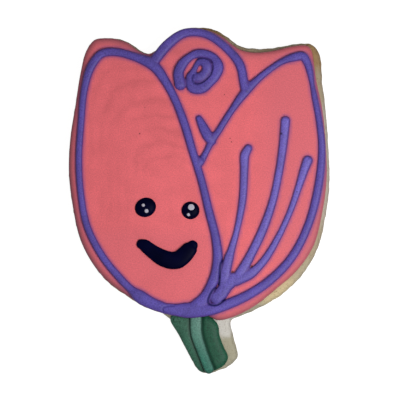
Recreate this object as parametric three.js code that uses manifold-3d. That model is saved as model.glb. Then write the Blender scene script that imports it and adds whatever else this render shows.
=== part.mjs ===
// Iced sugar cookie in the shape of a tulip: a flat baked biscuit, coral icing flooded over the flower and
// green icing over the stem, and round beads of icing piped on top as petal outlines, veins, a rose and a
// smiling face.
//
// Millimetres, +Z up. The biscuit lies on its flat underside at z = 0, centred on the origin, and +Y runs
// from the stem to the petal tips.
import * as THREE from "three";
import { mergeVertices, toCreasedNormals } from "three/addons/utils/BufferGeometryUtils.js";
import Module from "manifold-3d";

const wasm = await Module();
wasm.setup();

// Heights, from the table up.
const BISCUIT_THICKNESS = 6.5;
const PETAL_ICING_THICKNESS = 1.6;
const STEM_ICING_THICKNESS = 1.4;
const PETAL_ICING_TOP = BISCUIT_THICKNESS + PETAL_ICING_THICKNESS;
const STEM_ICING_TOP = BISCUIT_THICKNESS + STEM_ICING_THICKNESS;

// How far each edge is rounded: sideways, over the top and under the bottom.
const BISCUIT_EDGE = { inset: 1.1, over: 1.5, under: 0.8 };
const PETAL_ICING_EDGE = { inset: 0.8, over: 0.9, under: 0.4 };
const STEM_ICING_EDGE = { inset: 0.7, over: 0.8, under: 0.35 };
const EDGE_SEGMENTS = 3;
const POINTS_PER_SPAN = 2;

// A piped bead: its height as a share of its width, its greatest height, and the part of its height at which
// it is widest.
const LINE_RISE = 0.48;
const STRIPE_RISE = 0.3;
const SMILE_RISE = 0.3;
const BEAD_TALLEST = 1.5;
const BEAD_WAIST = 0.3;
const BEAD_STEP = 2.1;
const BEAD_ARC = { from: -60, to: 240, segments: 9 };
const BEAD_END_ANGLES = [20, 50];
const CLEARANCE = 0.06;

// The icing's outlines, each point as [x, y, how far the bare biscuit reaches beyond it].
const PETAL_ICING_OUTLINE = [
  [-6.7, -33, 0.3], [-10.9, -32.5, 0], [-15.4, -30.8, 0.2], [-21, -27.3, 0.2], [-26.3, -23.4, 0.2],
  [-30.7, -18.1, 0.2], [-34.2, -11.2, 0.2], [-36.3, -2.1, 0.2], [-37.5, 8, 0.2], [-37.1, 18, 0.2],
  [-35.6, 27.7, 0.2], [-34.1, 37.1, 0.2], [-32.4, 43.5, 0.2], [-30, 46.6, 0.2], [-27, 47.1, 0.2],
  [-23.7, 46.8, 0.2], [-20.2, 45.6, 0.2], [-17.2, 43.4, 0.2], [-14.5, 42.4, 0.2], [-12.8, 42.9, 0.3],
  [-10.8, 44.3, 0.4], [-7.7, 46.8, 0.4], [-4.2, 49.1, 0.5], [0, 49.5, 0.6], [3.8, 49, 0.7],
  [7.6, 47, 0.7], [10.3, 44.9, 0.7], [12.6, 43.5, 0.9], [16.2, 42.7, 1.2], [21.2, 43, 1],
  [27, 44.3, 0.6], [30.5, 44.7, 0.6], [32.2, 44.4, 0.9], [33.2, 43.1, 1.2], [33.7, 40.6, 1.7],
  [34.5, 34.8, 1.2], [36.3, 26, 0.5], [37.3, 16, 0.2], [37.5, 5.5, 0.4], [36.1, -4.5, 0.6],
  [33.7, -13.3, 0.9], [29, -20.3, 1.5], [22.8, -25.8, 1.9], [16.9, -30.5, 0.8], [12.6, -32.9, 0.3],
  [9, -34.3, 0.3], [5.8, -34.7, 0.3], [3.5, -33.7, 0.3], [0.9, -33, 0.3], [-3.2, -33, 0.3],
];
const STEM_ICING_OUTLINE = [
  [-7.4, -33.3, 0.2], [-2.4, -32.9, 0.2], [2.2, -33.1, 0.5], [4.5, -34.3, 3], [6, -36.2, 3.4],
  [6.5, -39.4, 3.3], [7.7, -42.5, 2.9], [8.9, -45.4, 2.2], [7.9, -47.6, 0.7], [5.8, -49, 0.2],
  [3, -49.8, 0.2], [0.7, -49.5, 0.2], [-1.1, -47.1, 0.2], [-3.3, -43.1, 0.2], [-5.4, -39.1, 0.2],
  [-7.9, -34.6, 0.1],
];

// The biscuit's own edge follows the petals, and between these two points of theirs it follows the stem instead.
const PETALS_LEAVE_STEM = 1;
const PETALS_MEET_STEM = 45;
const STEM_LEAVES_PETALS = 4;

// The lines piped on the petals, each point as [x, y, width].
const RIGHT_PETAL_LINES = [
  [[1.1, 10.9, 2.2], [2.9, 14.2, 1.8], [3.9, 16.2, 2], [6.6, 20.4, 2], [10.4, 26.3, 2],
   [14.2, 31.3, 2.6], [18.6, 35.6, 2], [24.5, 39.8, 1.9], [28, 41.3, 2.3], [30.9, 41.6, 2.4],
   [32, 39.4, 2.4], [32.9, 36.6, 2.2], [34.1, 30, 1.9], [35.5, 22.6, 2], [36.3, 14.5, 2.2], [35.1, 2.9, 2.5],
   [32.1, -7.9, 2.4], [27.5, -16.7, 2.5], [21.3, -23.2, 2.7], [13.9, -28, 2.9], [5.2, -31.4, 3.4],
   [1.5, -31.9, 4], [-2.6, -31.9, 4.6], [-6.1, -31.8, 3.6], [-8.3, -31.5, 3.3]],
];
const LEFT_PETAL_LINES = [
  [[-9.1, -31.4, 3.2], [-13.7, -29.6, 3.6], [-16.6, -27.9, 3.9], [-19, -25.9, 2.4], [-21.8, -23.2, 2.3],
   [-27.6, -16.1, 2.2], [-32, -7.4, 2.1], [-33.8, 2, 2], [-34.4, 11.6, 2], [-33.7, 23, 2],
   [-32.8, 32, 2.1], [-30.9, 38.6, 2.5], [-28, 42.3, 2.5], [-25.2, 43, 2.5], [-21.7, 42.6, 2.4],
   [-17.5, 41.3, 2.5]],
  [[-17.5, 41.3, 2.5], [-14, 39.9, 3.2], [-11.7, 38.1, 3.1], [-8.9, 34, 2.6], [-6.2, 28.8, 2.4],
   [-3.7, 22.4, 2.5], [-1.3, 14.4, 2.4], [1.4, 5.5, 2.3], [3.6, -3.5, 2.5], [5.4, -10.5, 2.6],
   [6.1, -16, 2.8], [5.7, -21.4, 2.8], [3.6, -26.4, 3], [-0.6, -30.5, 3.2]],
];
const CENTRE_PETAL_LINES = [
  [[-11.8, 41.1, 3.1], [-8.6, 44.9, 3.1], [-4.2, 48.1, 2.7], [-0.6, 48.6, 2.5], [3.5, 47.6, 2.4],
   [8.8, 43.7, 2.4], [12.5, 39.1, 2.7], [13.9, 32.5, 2.6]],
];
const BUD_FOLD_LINES = [
  [[0.6, 23.6, 2], [1.5, 21.8, 2.6], [2.5, 19.8, 3], [3.5, 18, 3], [4.5, 17, 2.4]],
];
const VEIN_LINES = [
  [[15, 14.9, 2.3], [14, 13, 2.7], [13.8, 9, 2.4], [13.3, 0, 2.2], [11.5, -9.3, 1.8], [9.9, -14.9, 2.3],
   [8.6, -19.6, 3], [8.1, -23.2, 3.2]],
  [[25.8, 22.8, 2.6], [25.2, 16.5, 2.4], [24.1, 9.3, 2.3], [22, -0.6, 2.3], [18.8, -9.5, 2.6],
   [15.8, -15.8, 2.7], [14.3, -18.8, 2.9], [12.2, -21.8, 3]],
  [[32.2, 11.3, 2.9], [31.3, 9, 2.6], [29.7, 4.1, 2.1], [27.5, -2.3, 1.8], [24.4, -9.3, 1.8],
   [20.3, -16.3, 2.4], [16.1, -20.9, 2.9], [11.4, -23.4, 3.2]],
  [[10.7, -22.9, 3.8], [8.5, -25, 3.8], [6.8, -27.3, 4.2], [5.4, -28.7, 4.5]],
];
const STEM_STRIPE_LINES = [
  [[0, -35.8, 3.4], [0.25, -38.5, 3.4], [2.1, -43.8, 3.1], [3.4, -47.4, 3]],
];
const SMILE_LINES = [
  [[-15.9, -12.8, 2.9], [-14.3, -13.7, 3.8], [-12.3, -15.4, 4.5], [-10, -17, 5.1], [-7.2, -17.5, 5],
   [-4.6, -16.8, 4.9], [-2.4, -14.9, 4.1], [-1.1, -13.1, 2.9]],
];

// The rose winds inwards clockwise in an outer and an inner turn, each as [radius, width] every twelfth of a
// turn.
const ROSE = {
  centre: [0.7, 37.7],
  startAngle: 218,
  turnStep: -30,
  outer: [
    [7.1, 2.6], [6.1, 2.6], [5.5, 1.9], [4.9, 1.7], [4.9, 2.1], [5, 2.2], [5.4, 2.4], [5.4, 3.2], [4.6, 2.9],
    [4.5, 2.7], [5, 3], [5.2, 2.8], [3.5, 2.7],
  ],
  inner: [
    [3.5, 2.7], [1.7, 1.8], [1.3, 1.6], [1.5, 1.5], [2, 1.5], [2.6, 2.4], [2.6, 3.1], [2.3, 2.9], [1.9, 2.5],
    [1.9, 2.6], [2.1, 2.7], [2.3, 2.8], [1.9, 1.7],
  ],
};

// The face: each eye is a drop of icing with two white glints, whose places are measured from its middle.
const EYES = {
  eye_left: {
    at: [-15, -2.1],
    radius: 2.95,
    stretch: 1.06,
    turn: 25,
    height: 1.15,
    glints: [
      { at: [-0.5, 0.6], radius: 0.6 },
      { at: [0.3, -1.2], radius: 0.72 },
    ],
  },
  eye_right: {
    at: [-1.9, -3],
    radius: 2.6,
    stretch: 1.01,
    turn: 0,
    height: 1.05,
    glints: [
      { at: [0.25, 0.9], radius: 1.05 },
      { at: [-0.55, -1.3], radius: 0.58 },
    ],
  },
};
const EYE_SIDES = 20;
const GLINT_SIDES = 12;
const DROP_RINGS = 4;
const GLINT_SINK = 0.15;
const GLINT_PROUD = 0.2;

const COLOURS = {
  biscuit: { color: 0xc9a25f, roughness: 0.9 },
  coral: { color: 0xdf6a72, roughness: 0.6 },
  purple: { color: 0x5a4ba6, roughness: 0.55 },
  darkGreen: { color: 0x2f5c46, roughness: 0.6 },
  lightGreen: { color: 0x4f8a74, roughness: 0.6 },
  black: { color: 0x0a0a24, roughness: 0.45 },
};

// A three.js geometry as a manifold-3d solid.
function solidFrom(geometry) {
  geometry.deleteAttribute("normal");
  geometry.deleteAttribute("uv");
  const merged = mergeVertices(geometry);
  return new wasm.Manifold(
    new wasm.Mesh({
      numProp: 3,
      vertProperties: merged.attributes.position.array,
      triVerts: new Uint32Array(merged.index.array),
    }),
  );
}

// A manifold-3d solid as a three.js geometry, with smooth rounds and crisp corners.
function geometryFrom(solid) {
  const { vertProperties, triVerts } = solid.getMesh();
  const geometry = new THREE.BufferGeometry()
    .setAttribute("position", new THREE.BufferAttribute(vertProperties, 3))
    .setIndex(new THREE.BufferAttribute(triVerts, 1));
  return toCreasedNormals(geometry, Math.PI / 4);
}

// An icing outline moved out by its bare margins, to the biscuit's own edge.
function withMargins(outline) {
  return outline.map(([x, y, bare], i) => {
    const [beforeX, beforeY] = outline.at(i - 1);
    const [afterX, afterY] = outline[(i + 1) % outline.length];
    const outward = new THREE.Vector2(beforeY - afterY, afterX - beforeX).setLength(bare);
    return [x + outward.x, y + outward.y];
  });
}

// A flat slab with a smooth closed outline, whose edge is rounded over the top and under the bottom.
function slab(outline, bottom, top, edge, grow = 0) {
  const rim = new THREE.CatmullRomCurve3(
    outline.map(([x, y]) => new THREE.Vector3(x, y, 0)), true, "centripetal");
  const points = rim.getPoints(outline.length * POINTS_PER_SPAN).slice(0, -1);
  const geometry = new THREE.ExtrudeGeometry(new THREE.Shape(points), {
    depth: 1,
    bevelThickness: 1,
    bevelSize: edge.inset,
    bevelOffset: grow - edge.inset,
    bevelSegments: EDGE_SEGMENTS,
  });
  // The extrusion runs from -1 to 2: its first millimetre is the lower round, and its last the upper one.
  const position = geometry.getAttribute("position");
  for (let i = 0; i < position.count; i++) {
    const level = position.getZ(i);
    const lower = bottom + edge.under * Math.min(level + 1, 1);
    const upper = top - edge.over * Math.min(2 - level, 1);
    position.setZ(i, level < 0.5 ? lower : upper);
  }
  return solidFrom(geometry);
}

// The round section of a bead, one wide each way from its middle, open at the bottom where it sits.
function beadSection() {
  const { from, to, segments } = BEAD_ARC;
  return new THREE.Shape(
    Array.from({ length: segments + 1 }, (_, i) => {
      const angle = THREE.MathUtils.degToRad(from + ((to - from) * i) / segments);
      return new THREE.Vector2(Math.cos(angle), Math.sin(angle));
    }),
  );
}

// A bead of icing along a smooth line, with round ends. It reaches a little below base, to be cut by what
// carries it.
function bead(stations, base, rise, grow = 0) {
  const line = new THREE.CatmullRomCurve3(
    stations.map(([x, y, width]) => new THREE.Vector3(x, y, width / 2)), false, "centripetal");
  const steps = Math.ceil(line.getLength() / BEAD_STEP);
  const ends = BEAD_END_ANGLES.map(THREE.MathUtils.degToRad);
  const rings = [
    ...ends.map((angle) => ({ share: 0, reach: -Math.cos(angle), swell: Math.sin(angle) })),
    ...Array.from({ length: steps + 1 }, (_, i) => ({ share: i / steps, reach: 0, swell: 1 })),
    ...ends.toReversed().map((angle) => ({ share: 1, reach: Math.cos(angle), swell: Math.sin(angle) })),
  ];
  const geometry = new THREE.ExtrudeGeometry(beadSection(), {
    depth: rings.length - 1,
    steps: rings.length - 1,
    bevelEnabled: false,
  });
  const position = geometry.getAttribute("position");
  for (let i = 0; i < position.count; i++) {
    const { share, reach, swell } = rings[Math.round(position.getZ(i))];
    const centre = line.getPointAt(share);
    const along = line.getTangentAt(share).setZ(0).normalize();
    const halfWidth = centre.z + grow;
    const height = Math.min(2 * centre.z * rise, BEAD_TALLEST) + grow;
    const side = position.getX(i) * halfWidth * swell;
    const up = height * (BEAD_WAIST + (1 - BEAD_WAIST) * position.getY(i)) * swell;
    position.setXYZ(
      i,
      centre.x + along.x * reach * halfWidth - along.y * side,
      centre.y + along.y * reach * halfWidth + along.x * side,
      base + up,
    );
  }
  return solidFrom(geometry);
}

// Lines that ran together while the icing was wet.
function beads(lines, base, rise, grow = 0) {
  return lines
    .map((line) => bead(line, base, rise, grow))
    .reduce((joined, next) => joined.add(next));
}

function roseTurn(turn, startAngle) {
  return turn.map(([radius, width], i) => {
    const angle = THREE.MathUtils.degToRad(startAngle + i * ROSE.turnStep);
    const [x, y] = ROSE.centre;
    return [x + radius * Math.cos(angle), y + radius * Math.sin(angle), width];
  });
}

function roseLines() {
  const innerStart = ROSE.startAngle + (ROSE.outer.length - 1) * ROSE.turnStep;
  return [roseTurn(ROSE.outer, ROSE.startAngle), roseTurn(ROSE.inner, innerStart)];
}

// A round drop of icing, flat underneath.
function drop([x, y], base, radius, height, sides) {
  const profile = Array.from({ length: DROP_RINGS + 1 }, (_, i) => {
    const angle = (i / DROP_RINGS) * (Math.PI / 2);
    return new THREE.Vector2(radius * Math.cos(angle), height * Math.sin(angle));
  });
  profile[DROP_RINGS].x = 0;
  const geometry = new THREE.LatheGeometry([new THREE.Vector2(0, 0), ...profile], sides);
  return geometry.rotateX(Math.PI / 2).translate(x, y, base);
}

function eye({ at, radius, stretch, turn, height, glints }) {
  const ball = drop([0, 0], 0, radius, height, EYE_SIDES)
    .scale(stretch, 1 / stretch, 1)
    .rotateZ(THREE.MathUtils.degToRad(turn))
    .translate(at[0], at[1], PETAL_ICING_TOP);
  return glints.reduce((made, glint) => {
    const [dx, dy] = glint.at;
    const surface = height * Math.sqrt(1 - (dx * dx + dy * dy) / (radius * radius));
    const base = PETAL_ICING_TOP + surface - GLINT_SINK;
    const spot = drop([at[0] + dx, at[1] + dy], base, glint.radius, GLINT_SINK + GLINT_PROUD, GLINT_SIDES);
    return made.add(solidFrom(spot));
  }, solidFrom(ball));
}

function piece(name, solid, colour) {
  const mesh = new THREE.Mesh(
    geometryFrom(solid), new THREE.MeshStandardMaterial({ ...COLOURS[colour], metalness: 0 }));
  mesh.name = name;
  return mesh;
}

// Piped lines on the petals' icing, cut clear of everything already there.
function pipedOn(bed, lines) {
  return beads(lines, PETAL_ICING_TOP, LINE_RISE).subtract(bed);
}

const biscuitOutline = [
  ...withMargins(PETAL_ICING_OUTLINE).slice(PETALS_LEAVE_STEM, PETALS_MEET_STEM),
  ...withMargins(STEM_ICING_OUTLINE).slice(STEM_LEAVES_PETALS),
];
const biscuit = slab(biscuitOutline, 0, BISCUIT_THICKNESS, BISCUIT_EDGE);
const petalIcing = slab(PETAL_ICING_OUTLINE, BISCUIT_THICKNESS, PETAL_ICING_TOP, PETAL_ICING_EDGE);

// What is already there widens by the clearance as each line is laid, so that a line drapes over it untouched.
const petalBed = slab(PETAL_ICING_OUTLINE, BISCUIT_THICKNESS, PETAL_ICING_TOP, PETAL_ICING_EDGE, CLEARANCE);
const stemBed = slab(STEM_ICING_OUTLINE, BISCUIT_THICKNESS, STEM_ICING_TOP, STEM_ICING_EDGE, CLEARANCE);
const floodedIcing = petalBed.add(stemBed);
const stemIcing = slab(STEM_ICING_OUTLINE, BISCUIT_THICKNESS, STEM_ICING_TOP, STEM_ICING_EDGE)
  .subtract(petalBed);
const rightBed = floodedIcing.add(beads(RIGHT_PETAL_LINES, PETAL_ICING_TOP, LINE_RISE, CLEARANCE));
const bothBed = rightBed.add(beads(LEFT_PETAL_LINES, PETAL_ICING_TOP, LINE_RISE, CLEARANCE));

const cookie = new THREE.Group();
cookie.name = "iced_cookie";
cookie.add(
  piece("biscuit", biscuit, "biscuit"),
  piece("petal_icing", petalIcing, "coral"),
  piece("stem_icing", stemIcing, "darkGreen"),
  piece("stem_stripe", beads(STEM_STRIPE_LINES, STEM_ICING_TOP, STRIPE_RISE).subtract(bothBed), "lightGreen"),
  piece("right_petal_line", pipedOn(floodedIcing, RIGHT_PETAL_LINES), "purple"),
  piece("left_petal_line", pipedOn(rightBed, LEFT_PETAL_LINES), "purple"),
  piece("centre_petal_line", pipedOn(bothBed, CENTRE_PETAL_LINES), "purple"),
  piece("bud_fold_line", pipedOn(bothBed, BUD_FOLD_LINES), "purple"),
  piece("rose_spiral", pipedOn(bothBed, roseLines()), "purple"),
  piece("petal_veins", pipedOn(bothBed, VEIN_LINES), "purple"),
  piece("smile", beads(SMILE_LINES, PETAL_ICING_TOP, SMILE_RISE).subtract(floodedIcing), "black"),
  ...Object.entries(EYES).map(([name, size]) => piece(name, eye(size), "black")),
);

export default cookie;
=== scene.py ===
"""Iced sugar cookie in the shape of a tulip, set up as an add-on.

A flat baked biscuit carries coral icing flooded over the flower and dark green icing over the stem, with a
light green stripe. Round beads of purple icing are piped on top as petal outlines, veins and a rose, and
near-black icing as a smiling face.

Shapes are worked out in millimetres, +Z up, with +Y running from the stem to the petal tips, and are turned
into metres as each piece is finished.
"""

import math

import bmesh
import bpy
from mathutils import Matrix, Vector, kdtree, noise
from mathutils.bvhtree import BVHTree


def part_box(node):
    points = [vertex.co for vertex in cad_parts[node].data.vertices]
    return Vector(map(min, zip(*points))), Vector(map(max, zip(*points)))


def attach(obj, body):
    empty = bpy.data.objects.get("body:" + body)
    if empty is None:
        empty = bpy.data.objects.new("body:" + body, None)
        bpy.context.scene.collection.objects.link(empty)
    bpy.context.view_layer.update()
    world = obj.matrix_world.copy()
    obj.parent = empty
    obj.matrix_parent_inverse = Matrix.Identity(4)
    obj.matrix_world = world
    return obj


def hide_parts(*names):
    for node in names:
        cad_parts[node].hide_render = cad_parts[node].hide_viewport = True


bl_info = {
    "name": "Iced Tulip Cookie",
    "version": (1, 0, 0),
    "blender": (4, 5, 0),
    "location": "View3D > Sidebar > Cookie",
    "description": "Builds a tulip-shaped sugar cookie with flooded icing, piped lines and a smiling face",
    "category": "Object",
}

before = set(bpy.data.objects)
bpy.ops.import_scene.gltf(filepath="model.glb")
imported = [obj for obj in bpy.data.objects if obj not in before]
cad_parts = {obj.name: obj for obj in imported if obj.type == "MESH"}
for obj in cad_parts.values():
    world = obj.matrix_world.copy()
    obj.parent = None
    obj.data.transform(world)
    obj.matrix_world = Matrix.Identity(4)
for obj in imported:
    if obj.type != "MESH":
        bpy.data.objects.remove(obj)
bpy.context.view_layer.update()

MM = 0.001
BODY = "root"
# The flooded icing starts this far above the biscuit, so that their faces don't lie in one plane.
LIFT = 0.02

# A bead is widest at this share of its height, and this power makes its sides steep and its top broad.
BEAD_WAIST = 0.3
BEAD_FULLNESS = 0.8
BEAD_SIDES = 24
BEAD_STEP = 0.5
# A drop's profile runs from below its widest place to almost its top, in degrees.
DROP_FOOT = -30
DROP_CROWN = 88
DROP_STEPS = 13
# How finely a slab is cut: the steps of its rounded edges, the cuts across its underside, a shift that keeps
# the cuts off its outline's points, and how far an inset goes in one step.
LOWER_EDGE_STEPS = 6
UPPER_EDGE_STEPS = 9
UNDERSIDE_SPACING = 8
CUT_SHIFT = 0.0137
INSET_STEP = 0.2

# The icing's outlines, clockwise, each point as (x, y, how far the bare biscuit reaches beyond it).
PETAL_ICING_OUTLINE = [
    (-6.7, -33, 0.3), (-10.9, -32.5, 0), (-15.4, -30.8, 0.2), (-21, -27.3, 0.2), (-26.3, -23.4, 0.2),
    (-30.7, -18.1, 0.2), (-34.2, -11.2, 0.2), (-36.3, -2.1, 0.2), (-37.5, 8, 0.2), (-37.1, 18, 0.2),
    (-35.6, 27.7, 0.2), (-34.1, 37.1, 0.2), (-32.4, 43.5, 0.2), (-30, 46.6, 0.2), (-27, 47.1, 0.2),
    (-23.7, 46.8, 0.2), (-20.2, 45.6, 0.2), (-17.2, 43.4, 0.2), (-14.5, 42.4, 0.2), (-12.8, 42.9, 0.3),
    (-10.8, 44.3, 0.4), (-7.7, 46.8, 0.4), (-4.2, 49.1, 0.5), (0, 49.5, 0.6), (3.8, 49, 0.7),
    (7.6, 47, 0.7), (10.3, 44.9, 0.7), (12.6, 43.5, 0.9), (16.2, 42.7, 1.2), (21.2, 43, 1),
    (27, 44.3, 0.6), (30.5, 44.7, 0.6), (32.2, 44.4, 0.9), (33.2, 43.1, 1.2), (33.7, 40.6, 1.7),
    (34.5, 34.8, 1.2), (36.3, 26, 0.5), (37.3, 16, 0.2), (37.5, 5.5, 0.4), (36.1, -4.5, 0.6),
    (33.7, -13.3, 0.9), (29, -20.3, 1.5), (22.8, -25.8, 1.9), (16.9, -30.5, 0.8), (12.6, -32.9, 0.3),
    (9, -34.3, 0.3), (5.8, -34.7, 0.3), (3.5, -33.7, 0.3), (0.9, -33, 0.3), (-3.2, -33, 0.3),
]
STEM_ICING_OUTLINE = [
    (-7.4, -33.3, 0.2), (-2.4, -32.9, 0.2), (2.2, -33.1, 0.5), (4.5, -34.3, 3), (6, -36.2, 3.4),
    (6.5, -39.4, 3.3), (7.7, -42.5, 2.9), (8.9, -45.4, 2.2), (7.9, -47.6, 0.7), (5.8, -49, 0.2),
    (3, -49.8, 0.2), (0.7, -49.5, 0.2), (-1.1, -47.1, 0.2), (-3.3, -43.1, 0.2), (-5.4, -39.1, 0.2),
    (-7.9, -34.6, 0.1),
]
# The biscuit's own edge runs along the petals' outline from one of these points to the other, and from there
# along the stem's, which it joins at a point of its own.
PETALS_LEAVE_STEM = 1
PETALS_MEET_STEM = 45
STEM_LEAVES_PETALS = 4

# The lines piped on the petals, each point as (x, y, width).
RIGHT_PETAL_LINES = [
    [(1.1, 10.9, 2.2), (2.9, 14.2, 1.8), (3.9, 16.2, 2), (6.6, 20.4, 2), (10.4, 26.3, 2),
     (14.2, 31.3, 2.6), (18.6, 35.6, 2), (24.5, 39.8, 1.9), (28.2, 41.15, 2.5), (30.8, 41.45, 2.6),
     (32.1, 39.4, 2.3), (32.9, 36.6, 2), (33.5, 33.1, 1.5), (34.1, 30, 1.8), (35.5, 22.6, 2),
     (36.3, 14.5, 2.2), (35.1, 2.9, 2.5), (32.1, -7.9, 2.4), (27.5, -16.7, 2.5), (21.3, -23.2, 2.7),
     (13.9, -28, 2.9), (5.2, -31.4, 3.4), (1.5, -31.9, 4), (-2.6, -31.9, 4.6), (-6.1, -31.8, 3.6),
     (-8.3, -31.5, 3.3)],
]
LEFT_PETAL_LINES = [
    [(-9.1, -31.4, 3.2), (-13.7, -29.6, 3.6), (-16.6, -27.9, 3.9), (-19, -25.9, 2.4), (-21.8, -23.2, 2.3),
     (-27.6, -16.1, 2.2), (-32, -7.4, 2.1), (-33.8, 2, 2), (-34.4, 11.6, 2), (-33.7, 23, 2),
     (-32.8, 32, 2.1), (-30.9, 38.6, 2.5), (-28, 42.3, 2.5), (-25.2, 43, 2.5), (-21.7, 42.6, 2.4),
     (-17.5, 41.3, 2.5)],
    [(-17.5, 41.3, 2.5), (-14, 39.9, 3.2), (-11.7, 38.1, 3.1), (-8.9, 34, 2.6), (-6.2, 28.8, 2.4),
     (-3.7, 22.4, 2.5), (-1.3, 14.4, 2.4), (1.4, 5.5, 2.3), (3.6, -3.5, 2.5), (5.4, -10.5, 2.6),
     (6.1, -16.3, 2.95), (5.5, -21.4, 3.15), (3.5, -26.3, 3.2), (2.05, -28.7, 3.7), (-0.6, -30.5, 3.2)],
]
CENTRE_PETAL_LINES = [
    [(-11.8, 41.1, 3.1), (-8.6, 44.9, 3.1), (-4.2, 48.1, 2.7), (-0.6, 48.6, 2.5), (3.5, 47.6, 2.4),
     (8.8, 43.7, 2.4), (12.5, 39.1, 2.7), (13.9, 32.5, 2.6)],
]
BUD_FOLD_LINES = [
    [(0.6, 23.6, 2), (1.5, 21.8, 2.6), (2.5, 19.8, 3), (3.5, 18, 3), (4.5, 17, 2.4)],
]
VEIN_LINES = [
    [(15, 14.9, 2.3), (14, 13, 2.7), (13.8, 9, 2.4), (13.3, 0, 2.2), (11.5, -9.3, 1.8), (9.9, -14.9, 2.3),
     (9.2, -17.2, 2.9), (8.6, -19.6, 3), (7.9, -23.3, 3.4), (7.8, -24.3, 3.3)],
    [(25.75, 22.8, 2.75), (25.15, 16.5, 2.5), (24.1, 9.3, 2.3), (22, -0.6, 2.3), (18.8, -9.5, 2.6),
     (15.7, -15.8, 2.65), (14.1, -18.8, 2.9), (12.2, -21.8, 3)],
    [(32.2, 11.3, 2.9), (31.3, 9, 2.6), (29.7, 4.1, 2.1), (27.5, -2.3, 1.8), (24.4, -9.3, 1.8),
     (20.4, -16.35, 2.2), (17.9, -19.4, 2.4), (15.6, -21.4, 2.9), (11.3, -23.4, 3.2)],
    [(10.7, -22.9, 3.8), (8.5, -25, 3.8), (6.95, -27.2, 4), (5.8, -28.4, 4.1)],
]
PURPLE_LINES = [*RIGHT_PETAL_LINES, *LEFT_PETAL_LINES, *CENTRE_PETAL_LINES, *BUD_FOLD_LINES]
STEM_STRIPE_LINES = [
    [(-0.3, -34.1, 3.6), (-0.17, -38.5, 3.5), (1.5, -43.8, 3.15), (3.45, -48.8, 3.05)],
]
SMILE_LINES = [
    [(-16.2, -12.7, 3), (-15.3, -13.05, 3.65), (-13.75, -14.25, 4), (-12.1, -15.45, 4.35),
     (-10.5, -16.45, 4.8), (-9, -17.1, 5.05), (-7.25, -17.5, 5.15), (-5.5, -17.3, 5.2), (-3.5, -15.8, 4.95),
     (-2.55, -14.7, 4.7), (-1.6, -13.65, 4.15), (-1.2, -13.1, 3.05)],
]

# The rose winds inwards clockwise in an outer and an inner turn, each as (radius, width) at every twelfth of
# a turn, from an angle in degrees.
ROSE_CENTRE = (0.7, 37.7)
ROSE_START = 218
ROSE_TURN = -30
ROSE_OUTER = [
    (7, 3.3), (6.05, 3.1), (5.05, 2.85), (4.6, 2.35), (4.7, 2.45), (4.95, 2.35), (5.45, 2.45), (5.5, 3.4),
    (4.8, 3.3), (4.65, 3.05), (5.25, 3.5), (5.45, 3.2), (3.3, 2.5),
]
ROSE_INNER = [
    (3.3, 2.5), (1.6, 1.7), (1.3, 1.6), (1.5, 1.5), (1.95, 1.9), (2.5, 2.8), (2.6, 3.1), (2.3, 2.9),
    (1.9, 2.5), (1.9, 2.6), (2.1, 2.7), (2.3, 2.8), (1.9, 1.7),
]

# Where one stroke was laid over another and a crease stayed: paths of (x, y), how deep the crease is, how far
# it spreads to each side and how strongly painted shade darkens it.
OUTLINE_CREASES = {
    "paths": [
        [(-9.6, -32.3), (-9.95, -31.5), (-9.3, -30.9), (-7.9, -30.65), (-6.6, -30.6)],
        [(1.9, 11.6), (0.9, 12.6), (0.5, 14.2)],
    ], "depth": 0.25, "spread": 0.25, "share": 0.5,
}
VEIN_CREASES = {
    "paths": [
        [(7.8, -16.9), (7, -18.5), (6.7, -20.9), (6.6, -23.2), (6.3, -24.6), (5.2, -25.6), (4.3, -26.65),
         (3.75, -27.75), (3.35, -28.85), (3.55, -30), (5.15, -30.5), (6.6, -30.05), (8.2, -28.8)],
    ], "depth": 0.45, "spread": 0.24, "share": 1.7,
}
ROSE_CREASES = {
    "paths": [
        [(4.6, 38.95), (4.55, 37.7), (4, 36.25), (2.9, 35), (1.5, 34), (0, 33.7), (-1, 34.2), (-1.3, 35),
         (-1.1, 36.2)],
        [(0.35, 40.9), (1.1, 41.05), (2.5, 41), (3.8, 40.5), (4.4, 39.8)],
    ], "depth": 0.5, "spread": 0.22, "share": 0.6,
}

# Each glint is (x, y, radius), from the middle of its eye.
EYES = {
    "eye_left": {"at": (-15, -2.1), "radius": 2.95, "stretch": 1.06, "turn": 25, "height": 1.15,
                 "glints": [(-0.5, 0.6, 0.48), (0.42, -1.02, 0.6)]},
    "eye_right": {"at": (-1.9, -3), "radius": 2.6, "stretch": 1.01, "turn": 0, "height": 1.05,
                  "glints": [(0.3, 0.85, 0.95), (-0.45, -1.22, 0.5)]},
}

# How tall a glint is, and how far it sinks into its eye.
GLINT_HEIGHT = 0.22
GLINT_SINK = 0.05

# Pin-prick holes that air left in the icing, each as (x, y, radius), darkened with painted shade. The last
# two petal places are no holes but painted shadow in the crotches where the veins meet.
PETAL_PITS_AND_SHADOWS = [(-16.7, 19.3, 0.3), (-15.2, 26.8, 0.15), (8, 30.5, 0.22), (10, 16.8, 0.25), (9.6, 17.8, 0.22),
              (10.3, -20.8, 0.5), (15.9, -19.2, 0.5)]
LINE_PITS = [(24.5, 19.1, 0.5), (29.1, 2.3, 0.25), (1.7, -12.3, 0.25)]

# The ripples that pouring left: the middle of their square-shouldered arches, and how much narrower than tall
# these are. They lie closer towards the middle, evenly spaced in this power of how far out they are.
RIPPLE_CENTRE = (-8, 0)
RIPPLE_STRETCH = 1.66
RIPPLE_SQUARENESS = 4.5
RIPPLE_POWER = 0.75
RIPPLE_SPACING = 1.49
RIPPLE_PHASE = 1.35
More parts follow.
